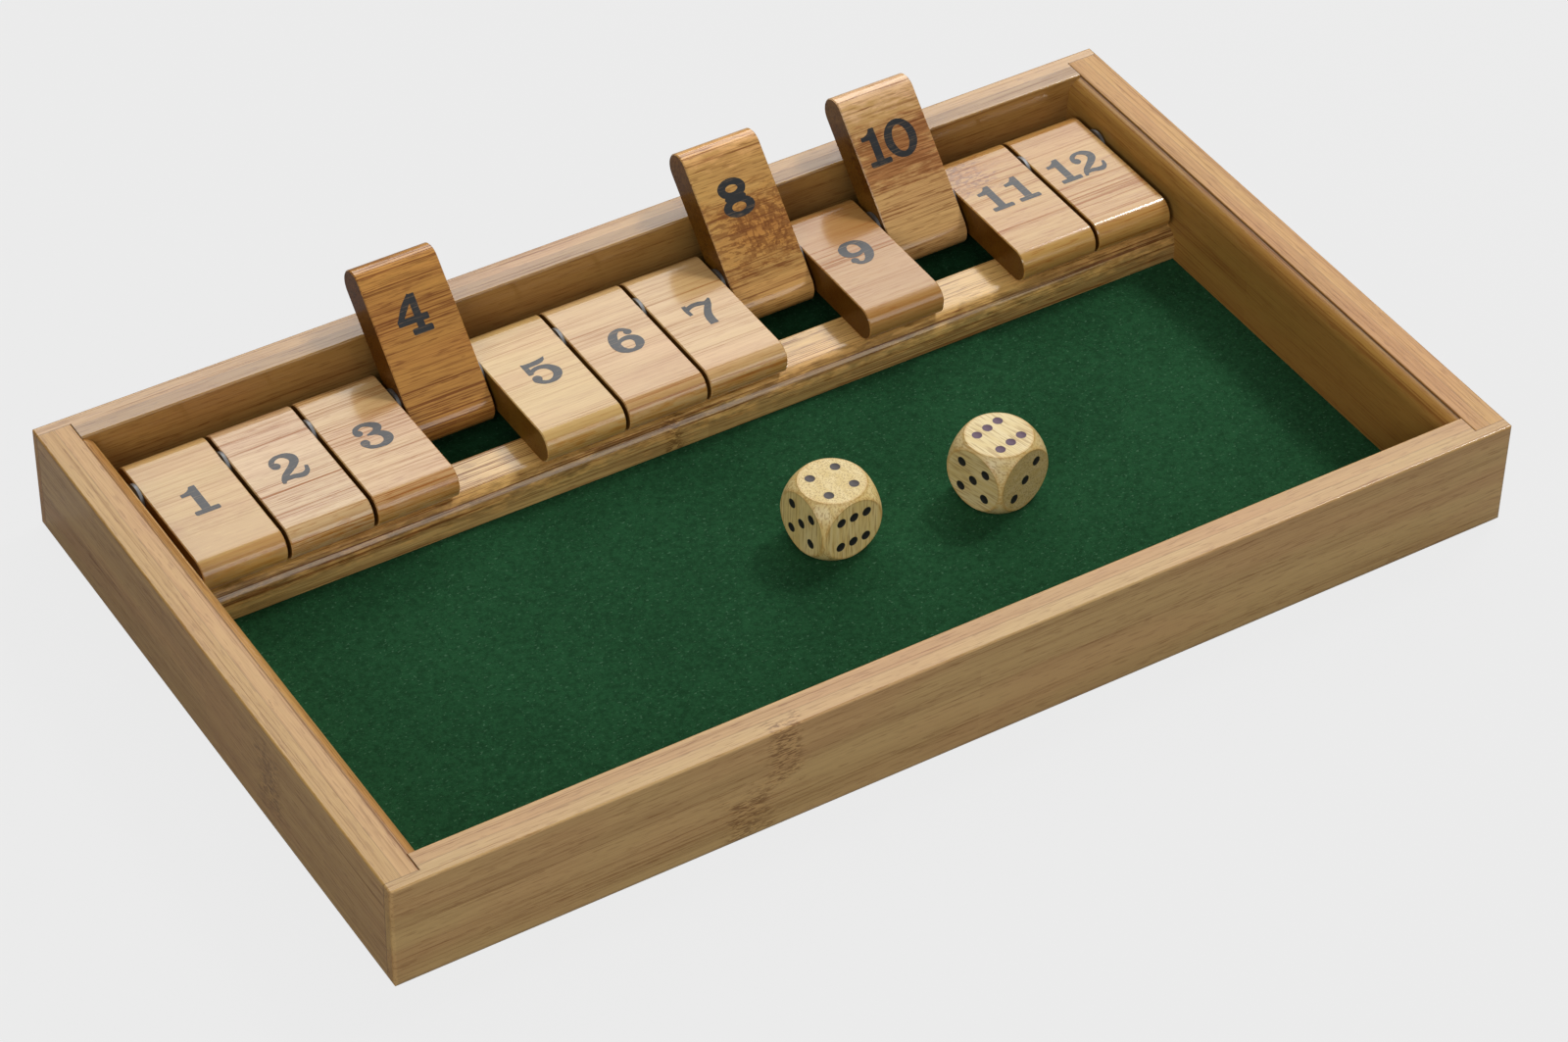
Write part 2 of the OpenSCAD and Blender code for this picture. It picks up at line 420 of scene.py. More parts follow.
GRAIN_STEP = (0.13, 0.29, 0.21)
WANDER_REACH = 0.9 * MM
LINE_EDGE, HAIR_EDGE, DASH_EDGE = (0.55, 0.62), (0.55, 0.61), (0.58, 0.68)
CROWDING = (0.34, 0.62, 0.3, 1.0)
BLUSH_EDGE, BLUSH_SHARE = (0.42, 0.68), 0.7
LINE_DEPTH, HAIR_DEPTH, BAND_DEPTH = 0.95, 0.5, 0.4
FIBRE_DEPTH, BASE_DEPTH = 0.35, 0.16
# A roughness is where it starts and what the pattern adds to it.
GRAIN_ROUGHNESS = (0.30, 0.22)
OPEN_GRAIN_DULLS = 0.7
FIBRE_RISE = LINE_FALL = 0.5
print("fibres are", FIBRES[0][0], "mm long and", FIBRES[0][1], "mm thick")

# %% [markdown]
# ## The grain as one group
# The patterns add up to one depth: 0 shows the light colour and 1 the dark one. The same
# patterns also set the roughness, thin the lacquer where the grain is open, and give the
# height for the bumps, so that colour, gloss and relief agree with each other.

# %% The grain group
GRAIN_INPUTS = [
    ("Point", "Vector", None),
    ("Seed", "Float", 0.0),
    ("Light", "Color", (0.7, 0.5, 0.3, 1)),
    ("Dark", "Color", (0.4, 0.2, 0.1, 1)),
    ("Blush", "Color", (0.6, 0.4, 0.3, 1)),
    ("Strip", "Vector", (1.0, 1.0, 1.0)),
    ("Tone Spread", "Float", 0.3),
    ("Lines", "Float", 0.5),
    ("Dashes", "Float", 0.5),
]
GRAIN_OUTPUTS = [("Color", "Color"), ("Roughness", "Float"), ("Gloss", "Float"), ("Height", "Float")]


def drawn_lines(group, along, bands):
    """Long lines and short hairs, drawn where the bands crowd them."""
    crowded = remap(group, bands, *CROWDING)
    lines = times(group, remap(group, spots(group, along, *LINES), *LINE_EDGE), crowded)
    hairs = times(group, remap(group, spots(group, along, *HAIRS), *HAIR_EDGE), crowded)
    return total(group, times(group, lines, LINE_DEPTH), times(group, hairs, HAIR_DEPTH))


def strip_tones(group, given, offset):
    """A tone of its own for each strip of the board."""
    number = vector_calc(group, "FLOOR", vector_calc(group, "DIVIDE", given["Point"], given["Strip"]))
    chosen = put(group, "TexWhiteNoise", {"Vector": vector_calc(group, "ADD", number, offset)})
    return swing(group, chosen.outputs[0], given["Tone Spread"])


def make_grain_group():
    """Bamboo as colours, roughness, gloss and height, from a point with X along the grain."""
    group, given, result = new_group("bamboo_grain", GRAIN_INPUTS, GRAIN_OUTPUTS)
    point, offset = seeded(group, given, GRAIN_STEP)
    wander = swing(group, spots(group, point, *WANDER), WANDER_REACH)
    sway = put(group, "CombineXYZ", {1: wander, 2: wander}).outputs[0]
    along = vector_calc(group, "ADD", point, sway)

    fibres = spots(group, along, *FIBRES)
    bands = spots(group, along, *BANDS)
    dashes = remap(group, spots(group, along, *DASHES), *DASH_EDGE)
    drawn = drawn_lines(group, along, bands)
    inked = times(group, drawn, given["Lines"])

    contrast = calc(group, "ADD", FIBRE_DEPTH, given["Lines"])
    depth = total(group, swing(group, fibres, contrast), swing(group, bands, BAND_DEPTH), inked,
                  times(group, dashes, given["Dashes"]), strip_tones(group, given, offset), BASE_DEPTH)
    depth = calc(group, "MINIMUM", calc(group, "MAXIMUM", depth, 0.0), 1.0)
    wood = mix(group, depth, given["Light"], given["Dark"])
    clouds = remap(group, spots(group, point, *CLOUDS), *BLUSH_EDGE)
    wood = tint(group, times(group, clouds, BLUSH_SHARE), wood, given["Blush"])

    open_grain = calc(group, "MINIMUM", inked, 1.0)
    group.links.new(wood, result["Color"])
    group.links.new(linear(group, fibres, *GRAIN_ROUGHNESS), result["Roughness"])
    group.links.new(minus(group, 1.0, times(group, open_grain, OPEN_GRAIN_DULLS)), result["Gloss"])
    height = minus(group, times(group, fibres, FIBRE_RISE), times(group, drawn, LINE_FALL))
    group.links.new(height, result["Height"])
    return group


grain_group = make_grain_group()
print("grain group:", len(grain_group.nodes), "nodes")

# %% [markdown]
# ## Knots
# Every 250 mm or so the cane has a joint, and where a board is cut through it the straight
# fibres break up into a patch of short dark flecks. A patch is a soft-edged box in space whose
# edge is frayed by noise, filled with flecks whose size is given, so that the same group makes
# the slim band across the front wall and the broad figured patch on the back of a tile. With
# long flecks, or none, it also stains a stretch of a board.

# %% The knot group
KNOT_STEP = (0.17, 0.11, 0.05)
FRAY, FRAY_REACH = ((6, 1.6, 1.6), 3.0, 0.65), 2.4
FLECK_NOISE = (2.0, 0.6)
PATCH_EDGE, FLECK_EDGE = (1.2, 0.45), (0.46, 0.56)
KNOT_INPUTS = [
    ("Point", "Vector", None),
    ("Middle", "Vector", (0.0, 0.0, 0.0)),
    ("Half Size", "Vector", (1.0, 1.0, 1.0)),
    ("Fleck", "Vector", (1.0, 1.0, 1.0)),
    ("Seed", "Float", 0.0),
]


def make_knot_group():
    """A patch that is 1 within a knot, and a mask that is 1 on its dark flecks."""
    group, given, result = new_group("bamboo_knot", KNOT_INPUTS, [("Mask", "Float"), ("Patch", "Float")])
    point, _ = seeded(group, given, KNOT_STEP)
    from_middle = vector_calc(group, "SUBTRACT", given["Point"], given["Middle"])
    reach = largest(group, sizes_of(group, vector_calc(group, "DIVIDE", from_middle, given["Half Size"])))
    fray = swing(group, spots(group, point, *FRAY), FRAY_REACH)
    patch = remap(group, total(group, reach, fray), *PATCH_EDGE)
    flecks = unit_noise(group, vector_calc(group, "DIVIDE", point, given["Fleck"]), *FLECK_NOISE)
    group.links.new(times(group, patch, remap(group, flecks, *FLECK_EDGE)), result["Mask"])
    group.links.new(patch, result["Patch"])
    return group


knot_group = make_knot_group()
print("knot group:", len(knot_group.nodes), "nodes")

# %% [markdown]
# ## What lies on the grain
# The walls are glued from two layers, an inner and an outer one, each with its own tint and a
# thin glue line between. Where two boards meet there is a fine dark joint. These lines follow
# from the sizes of the tray, so each is a distance worked out in the shader and darkened where
# it is small. Knots are given as they would be marked on a drawing: where, how big, how dark.

# %% Knots, layers and joint lines
KNOT_BROWN = (0.20, 0.085, 0.022, 1)
GLUE_BROWN = (0.16, 0.075, 0.025, 1)
FAINT = (1.04, 1.02, 0.98, 1)
GLUE_LINE, GLUE_SHADE = (0.22 * MM, 0.05 * MM), 0.35
SEAM_LINE, SEAM_SHADE = (0.38 * MM, 0.12 * MM), 0.75
JOINT_LINE, JOINT_SHADE = (0.3 * MM, 0.0), 0.6


def knot(middle, half, fleck, shade=0.0, dark=KNOT_BROWN, stain=FAINT):
    """A patch: its middle, half its size and its flecks' size in mm, and how dark they are."""
    sizes = [Vector(v) for v in (middle, half, fleck)]
    return {"sizes": sizes, "shade": shade, "dark": dark, "stain": stain}


def darken(tree, colour, mask, shade, dark=GLUE_BROWN):
    """The colour, with a share of a dark one where the mask is 1."""
    return mix(tree, times(tree, mask, shade), colour, dark)


def add_knots(tree, colour, point, knots, seed):
    """The colour with a stain and dark flecks for each knot."""
    for i, patch in enumerate(knots):
        middle, half, fleck = (v * MM for v in patch["sizes"])
        inputs = {"Point": point, "Middle": middle, "Half Size": half, "Fleck": fleck, "Seed": seed + i}
        made = place_group(tree, knot_group, inputs)
        colour = tint(tree, made["Patch"], colour, patch["stain"])
        colour = darken(tree, colour, made["Mask"], patch["shade"], patch["dark"])
    return colour


def add_plies(tree, colour, across, place, inner_tint, outer_tint):
    """The colour with the tints of a wall's two layers and the glue line between them."""
    outer = calc(tree, "GREATER_THAN", across, place)
    colour = mix(tree, 1.0, colour, mix(tree, outer, inner_tint, outer_tint), "MULTIPLY")
    glue = calc(tree, "ABSOLUTE", minus(tree, across, place))
    return darken(tree, colour, remap(tree, glue, *GLUE_LINE), GLUE_SHADE)


def add_joints(tree, colour, along, across, seam, joint):
    """The colour with the line between side wall and liner, and the lines at the corners."""
    if seam:
        away = calc(tree, "ABSOLUTE", minus(tree, across, wall_inner))
        colour = darken(tree, colour, remap(tree, away, *SEAM_LINE), SEAM_SHADE)
    if joint == "lips":
        away = minus(tree, lip_inner, along)
        colour = darken(tree, colour, remap(tree, away, *JOINT_LINE), JOINT_SHADE)
    if joint == "rebates":
        away = calc(tree, "MAXIMUM", minus(tree, wall_inner, along), minus(tree, across, lip_inner))
        colour = darken(tree, colour, remap(tree, away, *JOINT_LINE), JOINT_SHADE)
    return colour


print("joint lines are", JOINT_LINE[0] / MM, "mm wide")

# %% [markdown]
# ## Lacquered bamboo
# A board's finish puts the grain group, turned along the board, under a coat of clear lacquer:
# the shader's coat is a second, smooth surface over the rough wood. Cut ends drink the lacquer,
# so they are darker and duller. On the tiles the sides are made far darker still, which also
# paints the shade in the gaps between the tiles. A raised tile carries its grain with it: the
# point on it is first swung back to where the tile lay before it was raised.

# %% Bamboo materials
LACQUER = {"Coat_Roughness": 0.13, "Coat_IOR": 1.6, "Specular_IOR_Level": 0.15}
HONEY, TOFFEE, ROSE = (0.60, 0.335, 0.10, 1), (0.27, 0.105, 0.022, 1), (0.99, 0.90, 0.93, 1)
# The tiles' sides are end grain, darkened far more than the walls' ends: this also paints the shade in the
# gaps between the tiles.
WALL_ENDS, TILE_ENDS_AND_GAP_SHADE = (0.92, 0.88, 0.82, 1), (0.27, 0.20, 0.07, 1)
STRIP = (9, 7 * MM, 5 * MM)
GRAIN_RELIEF = 0.04 * MM
CUT_EDGE = (0.75, 0.95)
CUT_GLOSS = 0.25


def grain_point(tree, grain, turn):
    """The point with X along the grain, and with a tile's swing about the rod undone."""
    point = surface_point(tree)
    if turn:
        inputs = {"Vector": point, "Center": rod, "Angle": turn}
        point = put(tree, "VectorRotate", inputs, rotation_type="X_AXIS").outputs[0]
    if grain == "Y":
        axes = split(tree, point)
        point = put(tree, "CombineXYZ", {0: axes[1], 1: axes[0], 2: axes[2]}).outputs[0]
    return point


def bamboo(name, seed, grain="X", turn=0.0, light=HONEY, dark=TOFFEE, spread=0.25, lines=0.6, dashes=0.3,
           knots=(), plies=None, joint=None, seam=False, ends=WALL_ENDS, coat=0.35):
    """Lacquered bamboo, whose grain runs along an axis. The rest says how it is drawn on."""
    material, tree, shader = new_material(name, **LACQUER)
    point = grain_point(tree, grain, turn)
    inputs = {"Point": point, "Seed": seed, "Light": light, "Dark": dark, "Blush": ROSE, "Strip": STRIP,
              "Tone Spread": spread, "Lines": lines, "Dashes": dashes}
    wood = place_group(tree, grain_group, inputs)
    colour = add_knots(tree, wood["Color"], point, knots, seed)
    along, across, _ = sizes_of(tree, point)
    if plies:
        colour = add_plies(tree, colour, across, *plies)
    colour = add_joints(tree, colour, along, across, seam, joint)

    facing = split(tree, put(tree, "TexCoord").outputs["Normal"])["XY".index(grain)]
    cut_end = remap(tree, calc(tree, "ABSOLUTE", facing), *CUT_EDGE)
    gloss = times(tree, wood["Gloss"], remap(tree, cut_end, 0.0, 1.0, coat, CUT_GLOSS * coat))
    colour = tint(tree, cut_end, colour, ends)
    feed(tree, shader, Base_Color=colour, Roughness=wood["Roughness"], Coat_Weight=gloss)
    bumped(tree, shader, wood["Height"], GRAIN_RELIEF)
    return material


print("lacquer:", LACQUER)

# %% [markdown]
# ## The boards of the tray
# Each board is another piece of cane, so each has its own seed, and a light and a dark colour
# of its own where it differs from the usual honey. The long walls meet the side walls in
# rebates, and the side walls end at the lips. The rail and the back wall, where the tiles come
# down, carry the most lacquer. The rail is darker along its foot, and along its rounded edge
# under the tiles' front ends, where the darkening is painted shade.

# %% Walls, liners and rail
OUTER_PLY = 5 * MM
LONG_PLY, SHORT_PLY = abs(tray_low.y) - OUTER_PLY, abs(tray_low.x) - OUTER_PLY
STRAW, STRAW_DARK = (0.66, 0.42, 0.165, 1), (0.33, 0.16, 0.05, 1)
# The right liner gets darker wood than the left one: painted shade, as its face inside the tray is turned
# away from the key lamp.
SHADED_LINER_WOOD, RAIL_GOLD = (0.42, 0.225, 0.05, 1), (0.79, 0.49, 0.155, 1)
PINK_LAYER, PALE_LAYER, KHAKI = (0.93, 0.88, 0.88, 1), (1.06, 1.07, 1.10, 1), (0.97, 1.0, 1.02, 1)
# The back wall's inner layer is tinted darker: a ply colour, and also painted shade on the wall's face
# inside the tray.
DUSKY_PLY_AND_SHADE, MILKY = (0.69, 0.68, 0.63, 1), (0.96, 0.97, 1.02, 1)
CHALKY, ASHEN = (1.04, 1.08, 1.32, 1), (0.97, 1.04, 1.15, 1)
# The second colour on the next line darkens the rail's rounded edge under the tiles: painted shade.
RAIL_FOOT, RAIL_EDGE_SHADE = (0.78, 0.87, 0.98, 1), (0.57, 0.55, 0.49, 1)
front_knots = [
    knot((-58.5, -100, 26), (5.5, 5, 11), (2.8, 0.9, 0.5), 0.75),
    knot((-69, -100, 8), (7, 5, 9), (2.8, 0.9, 0.5), 0.7),
]
left_knots = [knot((-35, -170, 17), (7, 5, 12), (2.2, 0.9, 0.5), 0.7)]
rail_knots = [
    knot((-11, 35, 10), (3, 4, 9), (1.6, 0.7, 0.6), 0.8),
    knot((0, 33, 4), (400, 5, 8), (60, 1.2, 1.2), 0.4, stain=RAIL_FOOT),
    # The rounded edge of the rail lies under the tiles' front ends; its darker stain is painted shade.
    knot((0, 33, 16), (400, 4.6, 5.5), (60, 1.2, 1.2), stain=RAIL_EDGE_SHADE),
]
boards = {
    "front_wall": dict(seed=1.0, coat=0.45, lines=0.35, light=STRAW, dark=STRAW_DARK, knots=front_knots,
                       plies=(LONG_PLY, PINK_LAYER, KHAKI), joint="rebates"),
    "back_wall": dict(seed=2.0, coat=1.0, lines=0.5, plies=(LONG_PLY, DUSKY_PLY_AND_SHADE, MILKY), joint="rebates"),
    "left_wall": dict(seed=3.0, coat=0.45, lines=0.45, grain="Y", knots=left_knots,
                      plies=(SHORT_PLY, CHALKY, ASHEN), joint="lips", seam=True),
    "right_wall": dict(seed=4.0, lines=0.45, grain="Y", plies=(SHORT_PLY, PINK_LAYER, PALE_LAYER),
                       joint="lips", seam=True),
    "left_liner": dict(seed=5.0, grain="Y", seam=True),
    "right_liner": dict(seed=6.0, grain="Y", light=SHADED_LINER_WOOD, seam=True),
    "tile_rail": dict(seed=7.0, coat=1.0, lines=0.9, light=RAIL_GOLD, knots=rail_knots),
}
for name, board in boards.items():
    finish_with(bamboo(name + "_bamboo", **board), name)
print("bamboo on", ", ".join(boards))

# %% [markdown]
# ## Tiles
# The tiles are cut across wide boards, so the grain runs from side to side and every tile
# shows another piece of cane: pale cream, honey, rosy or brown. Most of the flat ones have a
# band of orange fibres along the rounded front, with a deeper orange tint there that is
# painted shade for the sheen the rounding loses, and some tiles show a figured patch. They
# carry as much lacquer as the rail. A patch on a tile is given from the rod, and moved to
# where its tile is, so that it is easy to copy to another.

# %% The twelve tiles
CREAM, ROSY, OAT = (0.68, 0.45, 0.16, 1), (0.68, 0.435, 0.18, 1), (0.70, 0.48, 0.235, 1)
CARAMEL, COPPER, STRAW_GOLD = (0.58, 0.28, 0.063, 1), (0.50, 0.275, 0.08, 1), (0.58, 0.34, 0.095, 1)
FIGURED_GOLD, BANDED_GOLD = (0.71, 0.415, 0.125, 1), (0.73, 0.44, 0.165, 1)
RUST, UMBER, RED_BROWN = (0.36, 0.125, 0.015, 1), (0.24, 0.085, 0.018, 1), (0.21, 0.07, 0.017, 1)
ORANGE_FIBRE, AMBER, TOP_FRONT_SHADE = (0.46, 0.19, 0.03, 1), (1.06, 0.96, 0.74, 1), (0.90, 0.83, 0.80, 1)
WARM, RUSSET = (0.95, 0.86, 0.76, 1), (0.74, 0.56, 0.50, 1)
# The three colours on the next line lighten the free ends of the raised tiles: painted sheen.
LIT_END, PALE_SHEEN, WHITE_SHEEN = (1.22, 1.22, 1.25, 1), (1.4, 1.42, 1.7, 1), (1.3, 1.38, 1.9, 1)
LONG_FLECK = (40, 9, 9)
TOP_FACE, UNDER_FACE = (flat_high.z - rod.z) / MM, (flat_low.z - rod.z) / MM


def raised_end(reach, stain):
    """The free end of a raised tile, drawn paler on the side that shows: a painted sheen."""
    return knot((0, -43, UNDER_FACE), (20, reach, 9), LONG_FLECK, stain=stain)


# Along the rounded front: orange fibres of the grain, and an orange tint that is painted shade, for the
# sheen the rounding loses.
front_fibres_and_sheen_loss = knot((0, -41, 1), (25, 3.4, 7), (70, 0.55, 0.55), 0.75, ORANGE_FIBRE, AMBER)
# Tile 1's top is darker towards its free end: painted shade, for the sheen that fades there.
shaded_front_top = knot((0, -34, TOP_FACE), (25, 15, 4), LONG_FLECK, stain=TOP_FRONT_SHADE)
corner_patch = knot((11, -43, TOP_FACE), (7, 7, 4), (2.0, 0.6, 0.6), 0.35, RED_BROWN, AMBER)
figured_patches = [
    knot((0, -11, UNDER_FACE), (16, 12, 4), (2.8, 1.0, 1.0), 0.62, RED_BROWN, WARM),
    knot((5, -10, UNDER_FACE), (11, 9, 4), (1.0, 2.4, 2.4), 0.6, RED_BROWN, WARM),
]
dark_band = knot((0, -17, UNDER_FACE), (16, 9, 4), (16, 0.6, 0.6), 0.6, RED_BROWN, RUSSET)
rear_patch = knot((-6, 2, TOP_FACE), (9, 8, 3), (2.0, 0.7, 0.7), 0.7, RED_BROWN, WARM)
TILE_BASICS = dict(dark=RUST, ends=TILE_ENDS_AND_GAP_SHADE, coat=1.0, knots=())
tile_looks = {
    1: dict(light=CREAM, lines=0.25, dashes=0.1, spread=0.15, knots=[front_fibres_and_sheen_loss, shaded_front_top]),
    2: dict(light=OAT, lines=0.7, knots=[front_fibres_and_sheen_loss]),
    3: dict(light=ROSY, lines=0.7, dashes=0.25, knots=[front_fibres_and_sheen_loss, corner_patch]),
    4: dict(light=CARAMEL, dark=UMBER, lines=1.3, dashes=0.4, spread=0.1, knots=[raised_end(13, LIT_END)]),
    5: dict(light=CREAM, lines=0.45, dashes=0.1, knots=[front_fibres_and_sheen_loss]),
    6: dict(light=ROSY, lines=0.5, dashes=0.1, knots=[front_fibres_and_sheen_loss]),
    7: dict(light=ROSY, lines=0.5, dashes=0.15, knots=[front_fibres_and_sheen_loss]),
    8: dict(light=FIGURED_GOLD, dark=UMBER, dashes=0.4, knots=[*figured_patches, raised_end(11, PALE_SHEEN)]),
    9: dict(light=COPPER, lines=0.8),
    10: dict(light=BANDED_GOLD, dark=UMBER, lines=0.5, dashes=0.35,
             knots=[dark_band, raised_end(13, WHITE_SHEEN)]),
    11: dict(light=STRAW_GOLD, dashes=0.4, knots=[rear_patch]),
    12: dict(light=STRAW_GOLD),
}


def on_tile(n, patch):
    """A patch given from the rod's middle in the tile, moved to where the tile is."""
    middle, half, fleck = patch["sizes"]
    return {**patch, "sizes": [middle + Vector((tile_middle[n], rod.y, rod.z)) / MM, half, fleck]}


for n in TILES:
    look = {**TILE_BASICS, **tile_looks[n]}
    look["knots"] = [on_tile(n, patch) for patch in look["knots"]]
    finish_with(bamboo(f"tile_{n}_bamboo", seed=7.0 + n, turn=raise_angle[n], **look), f"tile_{n}")
print("tiles finished:", len(tile_looks))

# %% [markdown]
# ## Steel
# The rod and its washers are zinc-plated steel: bright, a little cloudy, with fine marks from
# the lathe that run round the rod's axis. Metal is mostly what it mirrors, so its colour is
# one plain value and all of its life is in the roughness and in very shallow bumps.

# %% Steel for the rod and washers
STEEL_GREY = (0.23, 0.23, 0.23, 1)
LATHE_MARKS = ((0.12, 0.10, 1000), 2.0)
STEEL_CLOUDS = ((1.5, 1.5, 1.5), 3.0)
LATHE_RELIEF = 0.004 * MM
STEEL_ROUGHNESS = (0.38, 0.35)


def make_steel():
    """Bright steel, turned on a lathe about the rod's axis."""
    steel, tree, shader = new_material("bright_steel", Metallic=1.0, Base_Color=STEEL_GREY)
    point = surface_point(tree)
    from_rod = split(tree, vector_calc(tree, "SUBTRACT", point, rod))
    squares = [calc(tree, "POWER", from_rod[i], 2.0) for i in (1, 2)]
    reach = calc(tree, "SQRT", total(tree, *squares))
    unrolled = put(tree, "CombineXYZ", {0: from_rod[0], 1: reach}).outputs[0]
    clouds = spots(tree, point, *STEEL_CLOUDS)
    feed(tree, shader, Roughness=linear(tree, clouds, *STEEL_ROUGHNESS))
    bumped(tree, shader, spots(tree, unrolled, *LATHE_MARKS), LATHE_RELIEF)
    return steel


finish_with(make_steel(), "hinge_rod", "spacer_washers")
print("steel on the rod and washers")

# %% [markdown]
# ## Numerals
# Each tile has its number printed on both faces in black ink: on the top it reads from the
# front, and on the underside it reads once the tile is swung up. The figures are fat, with
# slab feet and ball ends, as on old playing pieces. A text object would bring the look of its
# font, so a figure is drawn here as a pen would: strokes whose width swells and thins, balls,
# rings and bars, which may overlap freely.

# %% Pen shapes
def between(a, b, c, d, t):
    """A point from b to c on the smooth curve that a and d lead in and out of."""
    bend = (2 * a - 5 * b + 4 * c - d) * t**2
    twist = (3 * b - a - 3 * c + d) * t**3
    return 0.5 * (2 * b + (c - a) * t + bend + twist)


def stroke(*points, steps=7):
    """The outline of a pen line through points (x, y, half width), smoothed between them."""
    line = [Vector(p) for p in points]
    ends = [2 * line[0] - line[1], *line, 2 * line[-1] - line[-2]]
    spans = [ends[i - 1:i + 3] for i in range(1, len(ends) - 2)]
    path = [between(*span, step / steps) for span in spans for step in range(steps)] + [line[-1]]
    left, right = [], []
    for i, p in enumerate(path):
        ahead = path[min(i + 1, len(path) - 1)] - path[max(i - 1, 0)]
        side = Vector((-ahead.y, ahead.x)).normalized() * p.z
        left.append(p.xy + side)
        right.append(p.xy - side)
    return [left + right[::-1]]


def arc(x, y, rx, ry, start, stop, count=20):
    """Points along an ellipse, with angles in turns."""
    angles = [math.tau * (start + (stop - start) * i / count) for i in range(count + 1)]
    return [Vector((x + rx * math.cos(a), y + ry * math.sin(a))) for a in angles]


def blob(x, y, rx, ry):
    """A filled ellipse."""
    return [arc(x, y, rx, ry, 0, 1)[:-1]]


def ball(x, y, r):
    """A round blob."""
    return blob(x, y, r, r)


def ring(outer, inner):
    """An ellipse with a hole, both (x, y, rx, ry), as two halves."""
    halves = ((0.25, 0.75), (0.75, 1.25))
    return [arc(*outer, start, stop) + arc(*inner, stop, start) for start, stop in halves]


def bar(x0, x1, y0, y1, r):
    """A rectangle with rounded corners."""
    corners = ((x1 - r, y1 - r, 0), (x0 + r, y1 - r, 0.25), (x0 + r, y0 + r, 0.5), (x1 - r, y0 + r, 0.75))
    return [[p for x, y, turn in corners for p in arc(x, y, r, r, turn, turn + 0.25, count=4)]]


def outline(*points):
    """A shape with straight sides."""
    return [[Vector(p) for p in points]]


def turned(shapes, width, height):
    """The same shapes upside down, in the same box."""
    return [[Vector((width - p.x, height - p.y)) for p in shape] for shape in shapes]


print("a ball end has", len(ball(0, 0, 1)[0]), "points")

# %% [markdown]
# ## Drawing the figures
# A figure is a width and a list of pen shapes, in millimetres from its lower left corner. A
# stroke's points carry the pen's half width, which is what makes the thick and thin of a
# figure. The 9 is the 6 turned round, as a printer with little type would do it.

